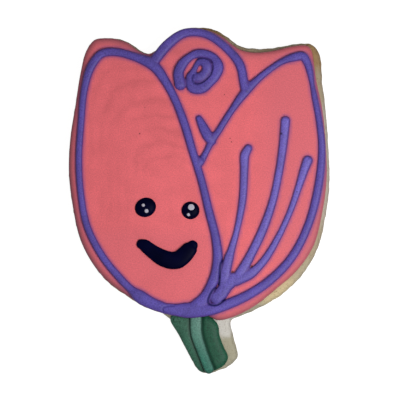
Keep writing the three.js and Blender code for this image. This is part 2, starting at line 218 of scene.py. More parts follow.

# How each icing differs from a plain one, in the words of icing_material.
# The edge, foot and crease colours are painted shade, and so is the fade on the coral and the dark green; on
# the light green and the violet the fade is only a darker tone towards the stem end.
ICING_LOOKS = {
    "Coral Icing": {
        "variation": 0.05, "speckle": 0.2, "ripple": 0.09, "dark_spot_places": PETAL_PITS_AND_SHADOWS,
        "fade": 0xC95F67, "shaded_rim": 0x824A56, "foot": 0x5E3E86},
    "Dark Green Icing": {
        "speckle": 0.6, "pits": 0.4, "fade": 0x164733, "foot": 0x0A2A1E, "crease_shade": 0x053022},
    "Light Green Icing": {
        "variation": 0.08, "speckle": 0.5, "pits": 0.5, "fade": 0x32695A, "foot": 0x10291F, "crease_shade": 0x053022},
    "Purple Icing": {
        "variation": 0.1, "speckle": 0.45, "swell": 0.5, "roughness": 0.45, "foot": 0x50265F,
        "crease_shade": 0x0F0C4A},
    "Violet Icing": {
        "variation": 0.1, "speckle": 0.45, "swell": 0.5, "roughness": 0.45, "dark_spot_places": LINE_PITS,
        "fade": 0x564A96, "foot": 0x50265F, "crease_shade": 0x0F0C4A},
    "Navy Icing": {"variation": 0.3, "swell": 0.5, "roughness": 0.4, "pits": 0.0, "specular": 0.02},
    "White Icing": {"variation": 0.03, "swell": 0.3, "pits": 0.0},
}
# The fine grain of an icing lies between these values of its noise.
GRAIN_SPAN = (0.3, 0.7)

# Where the dough is a colour of its own: (x, y), how far that reaches, the colour and its share.
DOUGH_PATCHES = [
    ((38, 12), 34, 0xB4A899, 0.8), ((35, -13), 9, 0xA29379, 0.9), ((26, -24), 12, 0xAEA084, 0.8),
    ((23, -26), 7.5, 0xC6B48C, 0.85), ((36, 33), 7.5, 0xA09074, 0.85), ((34, 42), 6.5, 0x967850, 0.9),
    ((3, 50), 9, 0x84602F, 0.7), ((7.5, -36), 5, 0xC5C2BB, 0.9), ((-40, 6), 42, 0xB89E75, 0.8),
    ((-22, -32), 15, 0xC0A87F, 0.75), ((-5, -44), 7.5, 0xB79F78, 0.75),
]
# How far the patches' borders stray.
PATCH_STRAY = 5

# The stage, in metres. The floor lies just under the cookie and is clear for rays shorter than its clearance,
# so that it doesn't hide the underside. The camera sees the view's width at its target.
FLOOR_DROP = 0.0001
FLOOR_CLEARANCE = 0.0006
KEY_LIGHT_PLACE = (0.09, -0.04, 0.20)
KEY_LIGHT_SIZE = 0.13
CAMERA_AZIMUTH = math.radians(75)
CAMERA_ELEVATION = math.radians(84)
CAMERA_DISTANCE = 1.5
CAMERA_TARGET = (0.000872, 0, 0.0081)
VIEW_WIDTH = 0.1157
SENSOR_WIDTH = 36

BISCUIT_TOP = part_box("biscuit")[1].z
PETAL_ICING_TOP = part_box("petal_icing")[1].z
STEM_ICING_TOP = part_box("stem_icing")[1].z


def tone(code):
    """A colour written as 0xRRGGBB, as the linear colour that the materials use."""
    shares = [((code >> shift) & 255) / 255 for shift in (16, 8, 0)]
    return tuple(s / 12.92 if s <= 0.04045 else ((s + 0.055) / 1.055) ** 2.4 for s in shares)


def length_property(name, description, default):
    return bpy.props.FloatProperty(
        name=name, description=description, default=default, min=0, unit="LENGTH", precision=4)


def factor_property(name, description, default):
    return bpy.props.FloatProperty(
        name=name, description=description, default=default, min=0, max=2, subtype="FACTOR")


def colour_property(name, description, code):
    return bpy.props.FloatVectorProperty(
        name=name, description=description, default=tone(code), min=0, max=1, size=3, subtype="COLOR")


class CookieSizes(bpy.types.PropertyGroup):
    biscuit_top: length_property("Biscuit thickness", "Height of the biscuit's top face", BISCUIT_TOP)
    petal_top: length_property("Petal icing height", "Height of the coral icing's surface", PETAL_ICING_TOP)
    stem_top: length_property("Stem icing height", "Height of the green icing's surface", STEM_ICING_TOP)
    line_rise: factor_property("Bead rise", "Height of a piped line as a share of width", 0.48)
    flat_rise: factor_property("Flat bead rise", "Height of the stripe and smile as a share of width", 0.3)
    tallest: length_property("Tallest bead", "Greatest height of a piped line", 0.0015)


class CookieColours(bpy.types.PropertyGroup):
    coral: colour_property("Coral icing", "Icing flooded over the petals", 0xD56268)
    purple: colour_property("Purple icing", "Icing piped as the petals' outlines and the rose", 0x534695)
    violet: colour_property("Violet icing", "Icing piped as the veins", 0x6356A6)
    dark_green: colour_property("Dark green icing", "Icing flooded over the stem", 0x335C4A)
    light_green: colour_property("Light green icing", "Stripe along the stem", 0x52796C)
    navy: colour_property("Navy icing", "Eyes and smile", 0x02031E)
    white: colour_property("White icing", "Glints in the eyes", 0xA8A4B0)
    dough: colour_property("Baked dough", "Pale sides of the biscuit", 0x9E9984)
    crust: colour_property("Browned crust", "Browned tips, foot and underside of the biscuit", 0x805826)


class StudioSettings(bpy.types.PropertyGroup):
    key_power: bpy.props.FloatProperty(
        name="Key light", description="Power of the large softbox", default=0.41, min=0, unit="POWER")
    fill_strength: factor_property("Fill", "Strength of the even light overhead", 0.45)
    floor: colour_property("Floor", "Colour of the plain floor", 0xF2F2F2)


# Shapes -----------------------------------------------------------------------------------------------------


def smooth_stations(points, step, closed=False):
    """Even stations along a smooth line through points, whose third number varies smoothly along it too."""
    knots = [Vector(p) for p in points]
    if closed:
        knots = [knots[-1], *knots, knots[0], knots[1]]
    else:
        knots = [2 * knots[0] - knots[1], *knots, 2 * knots[-1] - knots[-2]]
    fine = []
    for before, start, end, after in zip(knots, knots[1:], knots[2:], knots[3:]):
        spans = ((before, start), (start, end), (end, after))
        gap_in, gap, gap_out = [math.sqrt((b - a).length) for a, b in spans]
        leave = end - start + gap * ((start - before) / gap_in - (end - before) / (gap_in + gap))
        arrive = end - start + gap * ((after - end) / gap_out - (after - start) / (gap + gap_out))
        pieces = max(4, math.ceil((end - start).length / step) * 2)
        for i in range(pieces):
            t = i / pieces
            fine.append(
                (2 * t**3 - 3 * t**2 + 1) * start + (t**3 - 2 * t**2 + t) * leave
                + (3 * t**2 - 2 * t**3) * end + (t**3 - t**2) * arrive)
    fine.append(fine[0] if closed else knots[-2])
    return evenly(fine, step, closed)


def evenly(fine, step, closed):
    """The same line with its stations the same distance apart."""
    run = [0.0]
    for a, b in zip(fine, fine[1:]):
        run.append(run[-1] + (b.xy - a.xy).length)
    count = max(2, round(run[-1] / step))
    stations, i = [], 0
    for k in range(count if closed else count + 1):
        target = run[-1] * k / count
        while i < len(run) - 2 and run[i + 1] < target:
            i += 1
        share = (target - run[i]) / max(run[i + 1] - run[i], 1e-9)
        stations.append(fine[i].lerp(fine[i + 1], share))
    return stations


def outward_normals(ring):
    """Which way is out of a clockwise ring, at each of its points."""
    spans = [ring[(i + 1) % len(ring)] - ring[i - 1] for i in range(len(ring))]
    return [Vector((-span.y, span.x)).normalized() for span in spans]


def relaxed(ring, rounds):
    """A ring of points, or of numbers, with its kinks eased."""
    for _ in range(rounds):
        ring = [(ring[i - 1] + 2 * ring[i] + ring[(i + 1) % len(ring)]) / 4 for i in range(len(ring))]
    return ring


def inset_ring(ring, inset):
    """A clockwise ring moved in by inset, which may be a number or one number for each point.

    It moves in small steps and is eased after each, so that tight corners round off and don't fold over.
    """
    insets = inset if isinstance(inset, list) else [inset] * len(ring)
    steps = math.ceil(max(insets) / INSET_STEP)
    for _ in range(steps):
        ring = relaxed([p - n * d / steps for p, n, d in zip(ring, outward_normals(ring), insets)], 2)
    return ring


def ring_edges(ring):
    """The edges that join a ring's vertices to each other."""
    members = set(ring)
    return list({e for v in ring for e in v.link_edges if e.other_vert(v) in members})


def extrude_ring(bm, ring):
    """Extrudes an edge loop of vertices, and gives the new loop in the same order."""
    made = bmesh.ops.extrude_edge_only(bm, edges=ring_edges(ring))["geom"]
    new = {v for v in made if isinstance(v, bmesh.types.BMVert)}
    return [next(e.other_vert(v) for e in v.link_edges if e.other_vert(v) in new) for v in ring]


def close_ring(bm, ring):
    """Fills an edge loop with one face, split into triangles round a middle point."""
    face = bmesh.ops.contextual_create(bm, geom=ring_edges(ring))["faces"]
    bmesh.ops.poke(bm, faces=face)


def raise_rings(bm, rings):
    """Raises a wall through a list of rings, each a list of (x, y, z) with as many points as the others.

    It gives the wall's first and last edge loops, which are still open.
    """
    loop = bmesh.ops.create_circle(bm, cap_ends=False, radius=1, segments=len(rings[0]))["verts"]
    first = loop
    for ring in rings:
        if ring is not rings[0]:
            loop = extrude_ring(bm, loop)
        for v, place in zip(loop, ring):
            v.co = place
    return first, loop


def fill_flat(bm, ring, spacing):
    """Fills a level edge loop, cut into squares so that its surface can be shaped."""
    faces = bmesh.ops.contextual_create(bm, geom=ring_edges(ring))["faces"]
    for axis in (0, 1):
        normal = Vector((axis == 0, axis == 1, 0))
        low = min(v.co[axis] for v in ring)
        high = max(v.co[axis] for v in ring)
        for i in range(1, math.ceil((high - low) / spacing)):
            geom = list({*faces, *(e for f in faces for e in f.edges), *(v for f in faces for v in f.verts)})
            place = normal * (low + i * spacing + CUT_SHIFT)
            cut = bmesh.ops.bisect_plane(bm, geom=geom, dist=1e-6, plane_co=place, plane_no=normal)
            faces = [g for g in cut["geom"] if isinstance(g, bmesh.types.BMFace)]


def slab(outline, bottom, top, shoulders, drop, under, spacing):
    """A flooded or baked slab inside an outline, with its upper and lower edges rounded and its faces level.

    shoulders is how far the top's rounding reaches in at each point of the outline, drop is how far down it
    reaches, under is the radius of the lower edge and spacing that of the cuts across the top.
    """
    rings = []
    for k in range(LOWER_EDGE_STEPS + 1):
        angle = math.pi / 2 * k / LOWER_EDGE_STEPS
        ring = inset_ring(outline, under * (1 - math.sin(angle)))
        rings.append([(p.x, p.y, bottom + under * (1 - math.cos(angle))) for p in ring])
    for k in range(1, UPPER_EDGE_STEPS + 1):
        angle = math.pi / 2 * k / UPPER_EDGE_STEPS
        ring = inset_ring(outline, [s * (1 - math.cos(angle)) for s in shoulders])
        rings.append([(p.x, p.y, top - drop * (1 - math.sin(angle))) for p in ring])
    bm = bmesh.new()
    lower, upper = raise_rings(bm, rings)
    fill_flat(bm, lower, UNDERSIDE_SPACING)
    fill_flat(bm, upper, spacing)
    return bm


def new_piece(name, bm, node_names, material):
    """Finishes a piece: a mesh in metres with outward faces, riding on the cookie in place of its nodes."""
    bmesh.ops.recalc_face_normals(bm, faces=bm.faces)
    mesh = bpy.data.meshes.new(name)
    bm.to_mesh(mesh)
    bm.free()
    mesh.transform(Matrix.Scale(MM, 4))
    mesh.shade_smooth()
    mesh.materials.append(material)
    piece = bpy.data.objects.new(name, mesh)
    bpy.context.collection.objects.link(piece)
    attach(piece, BODY)
    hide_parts(*node_names)


def fuller(share):
    """Pushes a place on a circle out towards its square, for beads with steep sides and broad tops."""
    return math.copysign(abs(share) ** BEAD_FULLNESS, share)


def pipe(bm, line, base, rise, tallest):
    """A bead of icing along a smooth line, with round ends."""
    stations = smooth_stations(line, BEAD_STEP)
    ends = [math.radians(a) for a in (15, 35, 55, 75)]
    last = len(stations) - 1
    rings = [(0, -math.cos(a), math.sin(a)) for a in ends]
    rings += [(i, 0, 1) for i in range(last + 1)]
    rings += [(last, math.cos(a), math.sin(a)) for a in reversed(ends)]
    loop = bmesh.ops.create_circle(bm, cap_ends=False, radius=1, segments=BEAD_SIDES)["verts"]
    for v in loop:
        v.co = (fuller(v.co.x), fuller(v.co.y), 0)
    first, placed = loop, Matrix.Identity(4)
    for number, (i, reach, swell) in enumerate(rings):
        along = (stations[min(i + 1, last)].xy - stations[max(i - 1, 0)].xy).normalized()
        half = stations[i].z / 2
        height = min(stations[i].z * rise, tallest)
        side = Vector((-along.y, along.x, 0)) * half * swell
        up = Vector((0, 0, height * (1 - BEAD_WAIST) * swell))
        middle = stations[i].xy + along * reach * half
        place = Matrix.Translation((middle.x, middle.y, base + height * BEAD_WAIST * swell))
        place = place @ Matrix((side, up, (along.x, along.y, 0))).transposed().to_4x4()
        if number:
            loop = extrude_ring(bm, loop)
        bmesh.ops.transform(bm, matrix=place @ placed.inverted(), verts=loop)
        placed = place
    close_ring(bm, first)
    close_ring(bm, loop)


def run_together(bm, voxel, fillet):
    """Merges overlapping beads into one skin, with a fillet where they meet, and gives its bmesh."""
    bmesh.ops.recalc_face_normals(bm, faces=bm.faces)
    mesh = bpy.data.meshes.new("wet icing")
    bm.to_mesh(mesh)
    bm.free()
    wet = bpy.data.objects.new("wet icing", mesh)
    bpy.context.collection.objects.link(wet)
    for strength in (fillet, -fillet):
        swell = wet.modifiers.new("Swell", "DISPLACE")
        swell.mid_level = 0
        swell.strength = strength
        merge = wet.modifiers.new("Merge", "REMESH")
        merge.mode = "VOXEL"
        merge.voxel_size = voxel
    even = wet.modifiers.new("Even", "SMOOTH")
    even.factor = 0.5
    even.iterations = 4
    merged = bmesh.new()
    merged.from_object(wet, bpy.context.evaluated_depsgraph_get())
    bpy.data.objects.remove(wet)
    bpy.data.meshes.remove(mesh)
    return merged


def piped_skin(lines, base, rise, tallest, voxel, fillet):
    """The beads piped along some lines, merged into one skin."""
    bm = bmesh.new()
    for line in lines:
        pipe(bm, line, base, rise, tallest / MM)
    return run_together(bm, voxel, fillet)


def drop_of_icing(bm, at, base, radius, height, sides, stretch=1.0, turn=0.0):
    """Adds a drop that set with a full, rounded edge, stretched along an angle in degrees."""
    rings = []
    turned = Matrix.Rotation(math.radians(turn), 3, "Z")
    for k in range(DROP_STEPS + 1):
        angle = math.radians(DROP_FOOT + (DROP_CROWN - DROP_FOOT) * k / DROP_STEPS)
        out, up = math.cos(angle) ** BEAD_FULLNESS, math.sin(angle)
        ring = []
        for i in range(sides):
            around = 2 * math.pi * i / sides
            flat = Vector((math.cos(around) * stretch, math.sin(around) / stretch, 0)) * radius * out
            place = turned @ flat
            ring.append(Vector((at[0] + place.x, at[1] + place.y, base + height * up)))
        rings.append(ring)
    for loop in raise_rings(bm, rings):
        close_ring(bm, loop)


def station_tree(stations):
    """A tree that finds the stations nearest to a place, whatever its height."""
    tree = kdtree.KDTree(len(stations))
    for i, station in enumerate(stations):
        tree.insert((station.x, station.y, 0), i)
    tree.balance()
    return tree


def nearest(paths, spacing=0.1):
    """A look-up of how far a place is from the nearest of some (x, y) paths."""
    tree = station_tree([s for path in paths for s in smooth_stations([(x, y, 0) for x, y in path], spacing)])
    return lambda v: tree.find((v.x, v.y, 0))[2]


def reach_past(lines):
    """A look-up of how far a place lies outside the nearest border of piped lines, below 0 inside them."""
    stations = [s for line in lines for s in smooth_stations(line, 0.2)]
    tree = station_tree(stations)

    def past(v):
        return min(gap - stations[i].z / 2 for _, i, gap in tree.find_n((v.x, v.y, 0), 12))

    return past


def mark(bm, layer, share):
    """Stores a number from 0 to 1 at each vertex, for a material to read."""
    store = bm.verts.layers.float.get(layer) or bm.verts.layers.float.new(layer)
    for v in bm.verts:
        v[store] = max(v[store], min(1.0, share(v.co)))


def falloff(gap, width):
    """1 where there is no gap, and falling smoothly to about a third at a width."""
    return math.exp(-((gap / width) ** 2))


def mark_foot_shade(bm, lines, width):
    """Marks the foot of piped lines, where they meet what they lie on, for painted shade there."""
    past = reach_past(lines)
    mark(bm, "foot", lambda v: falloff(past(v), width))


def crease(bm, paths, depth, spread, share):
    """Presses a soft groove into the top of a skin along some paths, and marks it up to a share."""
    distance = nearest(paths)
    for v in bm.verts:
        v.co.z -= depth * falloff(distance(v.co), spread)
    # Painted shade in the groove.
    mark(bm, "crease_shade", lambda v: share * falloff(distance(v), spread))


def unevenness(place, seed, size):
    """A swell from -1 to 1 that depends on a place and on a seed alone."""
    return noise.noise(Vector((place.x, place.y, seed)) / size)


def refine(bm, near):
    """Halves the edges whose ends both pass a test, for finer detail there."""
    chosen = [e for e in bm.edges if near(e.verts[0].co) and near(e.verts[1].co)]
    bmesh.ops.subdivide_edges(bm, edges=chosen, cuts=1, use_grid_fill=True)


def rose_turn(turn, start):
    """One turn of the rose as points of (x, y, width)."""
    points = []
    for i, (radius, width) in enumerate(turn):
        angle = math.radians(start + i * ROSE_TURN)
        x = ROSE_CENTRE[0] + radius * math.cos(angle)
        y = ROSE_CENTRE[1] + radius * math.sin(angle)
        points.append((x, y, width))
    return points


def rose_lines():
    inner_start = ROSE_START + (len(ROSE_OUTER) - 1) * ROSE_TURN
    return [rose_turn(ROSE_OUTER, ROSE_START), rose_turn(ROSE_INNER, inner_start)]


# Materials --------------------------------------------------------------------------------------------------


def node(tree, kind, inputs=None, **settings):
    """Adds a shader node. An input is given by name or number, as a value or as a node's output to link."""
    made = tree.nodes.new(kind)
    for key, value in settings.items():
        setattr(made, key, value)
    for key, value in (inputs or {}).items():
        if isinstance(value, bpy.types.NodeSocket):
            tree.links.new(value, made.inputs[key])
        else:
            made.inputs[key].default_value = value
    return made


def rgba(colour, share=1.0):
    """A colour with its alpha, and darker or lighter where a share of it is asked for."""
    return (*[min(c * share, 1.0) for c in colour], 1.0)


def maths(tree, operation, a, b=0.0, c=0.0, clamp=False):
    return node(tree, "ShaderNodeMath", {0: a, 1: b, 2: c}, operation=operation, use_clamp=clamp).outputs[0]


def blend_colours(tree, share, a, b, kind="MIX"):
    """Colour a with a share of colour b laid over it."""
    return node(tree, "ShaderNodeMix", {0: share, 6: a, 7: b}, data_type="RGBA", blend_type=kind).outputs[2]


def ramp(tree, value, low, high):
    """Turns low to high into 0 to 1, smoothly."""
    spans = {"Value": value, "From Min": low, "From Max": high}
    return node(tree, "ShaderNodeMapRange", spans, interpolation_type="SMOOTHSTEP").outputs["Result"]


def rescaled(tree, value, old, new):
    """Turns one span of values into another, evenly."""
    spans = {"Value": value, "From Min": old[0], "From Max": old[1], "To Min": new[0], "To Max": new[1]}
    return node(tree, "ShaderNodeMapRange", spans).outputs["Result"]


def noise_texture(tree, place, scale, detail, roughness=0.5):
    return node(tree, "ShaderNodeTexNoise", {
        "Vector": place, "Scale": scale, "Detail": detail, "Roughness": roughness}).outputs


def flattened(tree, place, shift=0.0):
    """A place moved in x and y alike, with its height left out."""
    return node(tree, "ShaderNodeMapping", {
        "Vector": place, "Location": (shift, shift, 0), "Scale": (1, 1, 0)}).outputs["Vector"]


def distance_from(tree, level, x, y):
    """How far a flattened place is from a point."""
    ends = {0: level, 1: (x, y, 0)}
    return node(tree, "ShaderNodeVectorMath", ends, operation="DISTANCE").outputs["Value"]


def tinted(tree, colour, layer, code, strength=1.0):
    """Blends a colour towards another, where there is one, as far as a piece's vertices are marked."""
    if code is None:
        return colour
    marked = node(tree, "ShaderNodeAttribute", attribute_name=layer).outputs["Fac"]
    return blend_colours(tree, maths(tree, "MULTIPLY", marked, strength), colour, rgba(tone(code)))


def new_group(name, inputs, outputs):
    """An empty shader node group with a Vector input, float inputs with their defaults and float outputs."""
    group = bpy.data.node_groups.new(name, "ShaderNodeTree")
    group.interface.new_socket("Vector", in_out="INPUT", socket_type="NodeSocketVector")
    for title, default in inputs.items():
        socket = group.interface.new_socket(title, in_out="INPUT", socket_type="NodeSocketFloat")
        socket.default_value = default
    for title in outputs:
        group.interface.new_socket(title, in_out="OUTPUT", socket_type="NodeSocketFloat")
    return group, group.nodes.new("NodeGroupInput"), group.nodes.new("NodeGroupOutput")


def icing_skin_group():
    """Set icing: slow changes of tone, a faint swell left by flooding and a fine sugary grain."""
    name = "Icing Skin"
    if name in bpy.data.node_groups:
        return bpy.data.node_groups[name]
    inputs = {"Swell Size": 6.0, "Grain Size": 0.35, "Swell": 1.0, "Grain": 0.25}
    group, given, out = new_group(name, inputs, ["Tone", "Height", "Sheen"])
    place = given.outputs["Vector"]
    swell_scale = maths(group, "DIVIDE", 1.0, given.outputs["Swell Size"])
    grain_scale = maths(group, "DIVIDE", 1.0, given.outputs["Grain Size"])
    slow = noise_texture(group, place, swell_scale, 3.0, 0.45)["Fac"]
    fine = noise_texture(group, place, grain_scale, 4.0, 0.7)["Fac"]
    slow_part = maths(group, "MULTIPLY", slow, given.outputs["Swell"])
    fine_part = maths(group, "MULTIPLY", fine, given.outputs["Grain"])
    group.links.new(ramp(group, slow, 0.3, 0.7), out.inputs["Tone"])
    group.links.new(maths(group, "ADD", slow_part, fine_part), out.inputs["Height"])
    group.links.new(fine, out.inputs["Sheen"])
    return group


def air_pits_group():
    """Pin-prick holes left by air bubbles, scattered here and there."""
    name = "Air Pits"
    if name in bpy.data.node_groups:
        return bpy.data.node_groups[name]
    group, given, out = new_group(name, {"Spacing": 5.0, "Radius": 0.12, "Share": 0.3}, ["Pit"])
    scale = maths(group, "DIVIDE", 1.0, given.outputs["Spacing"])
    cells = node(group, "ShaderNodeTexVoronoi", {"Vector": given.outputs["Vector"], "Scale": scale})
    reach = maths(group, "MULTIPLY", given.outputs["Radius"], scale)
    near = maths(group, "SUBTRACT", 1.0, maths(group, "DIVIDE", cells.outputs["Distance"], reach), clamp=True)
    pick = node(group, "ShaderNodeSeparateColor", {"Color": cells.outputs["Color"]}).outputs["Red"]
    kept = maths(group, "LESS_THAN", pick, given.outputs["Share"])
    group.links.new(maths(group, "MULTIPLY", near, kept), out.inputs["Pit"])
    return group


def poured_ripples_group():
    """Faint uneven arches round the left petal's middle, left by pouring, for painted light and shade."""
    name = "Poured Ripples"
    if name in bpy.data.node_groups:
        return bpy.data.node_groups[name]
    group, given, out = new_group(name, {}, ["Band"])
    place = given.outputs["Vector"]
    centred = node(group, "ShaderNodeMapping", {
        "Vector": place, "Location": (RIPPLE_STRETCH * -RIPPLE_CENTRE[0], -RIPPLE_CENTRE[1], 0),
        "Scale": (RIPPLE_STRETCH, 1, 0)}).outputs["Vector"]
    side = node(group, "ShaderNodeSeparateXYZ", {"Vector": centred})
    sizes = [maths(group, "ABSOLUTE", side.outputs[axis]) for axis in ("X", "Y")]
    powers = [maths(group, "POWER", size, RIPPLE_SQUARENESS) for size in sizes]
    reach = maths(group, "POWER", maths(group, "ADD", *powers), 1 / RIPPLE_SQUARENESS)
    count = maths(group, "DIVIDE", maths(group, "POWER", reach, RIPPLE_POWER), RIPPLE_SPACING)
    waver = noise_texture(group, place, 0.1, 3.0, 0.6)["Fac"]
    count = maths(group, "ADD", count, maths(group, "MULTIPLY", waver, 1.8))
    turns = maths(group, "SUBTRACT", count, RIPPLE_PHASE)
    crest = maths(group, "COSINE", maths(group, "MULTIPLY", turns, 2 * math.pi))
    arches = maths(group, "POWER", maths(group, "MULTIPLY", maths(group, "ADD", crest, 1.0), 0.5), 2.0)

    # They fade out in the middle, below, at the right, in patches and where their sides are upright.
    fading = noise_texture(group, place, 0.09, 1.0)["Fac"]
    level = ramp(group, maths(group, "DIVIDE", sizes[1], reach), 0.3, 0.9)
    kept = maths(group, "MULTIPLY_ADD", level, 0.65, 0.35)
    for value, low, high in (
            (reach, 8.0, 14.0), (side.outputs["Y"], -18.0, -2.0), (side.outputs["X"], 14.0, 3.0),
            (fading, 0.3, 0.6)):
        kept = maths(group, "MULTIPLY", kept, ramp(group, value, low, high))
    group.links.new(maths(group, "MULTIPLY", arches, kept), out.inputs["Band"])
    return group


def bare_material(name):
    """A material with nothing but its output."""
    material = bpy.data.materials.new(name)
    material.use_nodes = True
    tree = material.node_tree
    tree.nodes.clear()
    return material, tree, tree.nodes.new("ShaderNodeOutputMaterial").inputs["Surface"]


def start_material(name):
    """A material with a Principled BSDF and its places in millimetres."""
    material, tree, surface = bare_material(name)
    shader = tree.nodes.new("ShaderNodeBsdfPrincipled")
    tree.links.new(shader.outputs["BSDF"], surface)
    place = node(tree, "ShaderNodeTexCoord").outputs["Object"]
    in_mm = node(tree, "ShaderNodeMapping", {"Vector": place, "Scale": (1 / MM, 1 / MM, 1 / MM)})
    return material, tree, shader, in_mm.outputs["Vector"]


def link_bump(tree, shader, height, strength, distance):
    bump = node(tree, "ShaderNodeBump", {"Height": height, "Strength": strength, "Distance": distance * MM})
    tree.links.new(bump.outputs["Normal"], shader.inputs["Normal"])


def icing(name, colour):
    """One of the icings, made for the first piece that asks for it."""
    return bpy.data.materials.get(name) or icing_material(name, colour, **ICING_LOOKS[name])


def icing_material(
        name, colour, variation=0.12, swell=1.0, roughness=0.5, pits=0.3, specular=0.2, speckle=0.1,
        dark_spot_places=(), ripple=0.0, fade=None, shaded_rim=None, foot=None, crease_shade=None):
    """Set icing in one colour.

    variation is how much its tone changes slowly, speckle how much it does finely, ripple how strongly the
    ripples left by pouring show as painted light and shade, and pits how often air left a hole, besides the
    dark spots at the places given; both are pressed in and darkened with painted shade. fade is a colour
    that it shifts to where its vertices are marked so. The edge, foot and crease colours are painted shade
    where its vertices are marked so, and so is fade on the coral and the dark green.
    """
    material, tree, shader, in_mm = start_material(name)
    skin = node(tree, "ShaderNodeGroup", {"Vector": in_mm, "Swell": swell}, node_tree=icing_skin_group())
    holes = node(tree, "ShaderNodeGroup", {"Vector": in_mm, "Share": pits}, node_tree=air_pits_group())
    toned = blend_colours(
        tree, skin.outputs["Tone"], rgba(colour, 1 - variation), rgba(colour, 1 + variation))
    toned = tinted(tree, toned, "fade", fade)
    # The ripples are painted as lighter and darker bands in the colour: painted light and shade, with no
    # relief.
    if ripple:
        poured = node(tree, "ShaderNodeGroup", {"Vector": in_mm}, node_tree=poured_ripples_group())
        band = rescaled(tree, poured.outputs["Band"], (0, 1), (1 + ripple * 0.4, 1 - ripple * 0.8))
        toned = blend_colours(tree, 1.0, toned, band, kind="MULTIPLY")
    spots = rescaled(tree, skin.outputs["Sheen"], GRAIN_SPAN, (1 - speckle, 1 + speckle))
    toned = blend_colours(tree, 1.0, toned, spots, kind="MULTIPLY")
    # Painted shade along the coral's rounded edge, at the feet of the piped lines and in the creases.
    for layer, code, strength in (("shaded_rim", shaded_rim, 1.0), ("foot", foot, 0.55), ("crease_shade", crease_shade, 0.9)):
        toned = tinted(tree, toned, layer, code, strength)
    # Air holes and the dark spots at the given places are pressed in and darkened with painted shade; the
    # spots in the crotches between the veins are painted shadow.
    dark_spot = holes.outputs["Pit"]
    if dark_spot_places:
        dark_spot = maths(tree, "MAXIMUM", dark_spot, dark_spots_at(tree, in_mm, dark_spot_places))
    toned = blend_colours(tree, ramp(tree, dark_spot, 0.0, 0.6), toned, rgba(colour, 0.25))
    tree.links.new(toned, shader.inputs["Base Color"])
    rough = rescaled(tree, skin.outputs["Sheen"], GRAIN_SPAN, (roughness - 0.06, roughness + 0.08))
    tree.links.new(rough, shader.inputs["Roughness"])
    link_bump(tree, shader, maths(tree, "SUBTRACT", skin.outputs["Height"], dark_spot), 0.6, 0.08)
    shader.inputs["Specular IOR Level"].default_value = specular
    return material


def dark_spots_at(tree, in_mm, places):
    """How deep inside the nearest of some dark spots a place is, from 0 at its edge to 1 in its middle."""
    level = flattened(tree, in_mm)
    deepest = 0.0
    for x, y, radius in places:
        share = maths(tree, "DIVIDE", distance_from(tree, level, x, y), radius)
        deepest = maths(tree, "MAXIMUM", maths(tree, "SUBTRACT", 1.0, share, clamp=True), deepest)
    return deepest


def biscuit_material(dough, crust):
    """Baked dough: pale and pored, and browned towards the petals' tips, along its foot and underneath."""
    material, tree, shader, in_mm = start_material("Baked Biscuit")
    split = node(tree, "ShaderNodeSeparateXYZ", {"Vector": in_mm})
    uneven = maths(tree, "MULTIPLY", noise_texture(tree, in_mm, 0.25, 5.0, 0.6)["Fac"], 1.2)

    def browned(colour, where, strength):
        share = maths(tree, "MULTIPLY", maths(tree, "MULTIPLY", where, strength), uneven, clamp=True)
        return blend_colours(tree, share, colour, rgba(crust))

    colour = browned(rgba(dough), ramp(tree, split.outputs["Y"], 25.0, 47.0), 0.75)
    strays = noise_texture(tree, in_mm, 0.3, 3.0)["Color"]
    strayed = node(tree, "ShaderNodeVectorMath", {
        0: strays, 1: (PATCH_STRAY, PATCH_STRAY, 0), 2: in_mm}, operation="MULTIPLY_ADD").outputs["Vector"]
    level = flattened(tree, strayed, -PATCH_STRAY / 2)
    for (x, y), reach, code, share in DOUGH_PATCHES:
        inside = ramp(tree, distance_from(tree, level, x, y), reach, reach * 0.4)
        colour = blend_colours(tree, maths(tree, "MULTIPLY", inside, share), colour, rgba(tone(code)))
    colour = browned(colour, ramp(tree, split.outputs["Z"], 2.6, 0.0), 1.1)

    crumb = noise_texture(tree, in_mm, 2.2, 6.0, 0.75)["Fac"]
    pores = node(tree, "ShaderNodeTexVoronoi", {"Vector": in_mm, "Scale": 1.1})
    fleck = maths(tree, "MULTIPLY", ramp(tree, crumb, 0.5, 0.72), 0.45)
    hole = ramp(tree, pores.outputs["Distance"], 0.28, 0.05)
    colour = blend_colours(tree, fleck, colour, rgba(crust, 0.62))
    # Painted shade in the pores, which the bump also presses in.
    colour = blend_colours(tree, maths(tree, "MULTIPLY", hole, 0.35), colour, rgba(crust, 0.4))
    tree.links.new(colour, shader.inputs["Base Color"])
    shader.inputs["Roughness"].default_value = 0.85
    shader.inputs["Specular IOR Level"].default_value = 0.25
    link_bump(tree, shader, maths(tree, "SUBTRACT", crumb, maths(tree, "MULTIPLY", hole, 0.6)), 0.8, 0.25)
    return material


def floor_material(colour):
    """A plain pale floor that stays bright where the cookie shades it, and is clear from below."""
    material, tree, surface = bare_material("Studio Floor")
    diffuse = node(tree, "ShaderNodeBsdfDiffuse", {"Color": rgba(colour)})
    glow = node(tree, "ShaderNodeEmission", {"Color": (1, 1, 1, 1), "Strength": 1.25})
    seen = node(tree, "ShaderNodeLightPath")
    share = maths(tree, "MULTIPLY", seen.outputs["Is Camera Ray"], 0.75)
    mixed = node(tree, "ShaderNodeMixShader", {0: share, 1: diffuse.outputs[0], 2: glow.outputs[0]})
    close = maths(tree, "LESS_THAN", seen.outputs["Ray Length"], FLOOR_CLEARANCE)
    below = maths(tree, "MAXIMUM", close, node(tree, "ShaderNodeNewGeometry").outputs["Backfacing"])
    clear = node(tree, "ShaderNodeBsdfTransparent")
    shown = node(tree, "ShaderNodeMixShader", {0: below, 1: mixed.outputs[0], 2: clear.outputs[0]})
    tree.links.new(shown.outputs[0], surface)
    return material


# Pieces -----------------------------------------------------------------------------------------------------


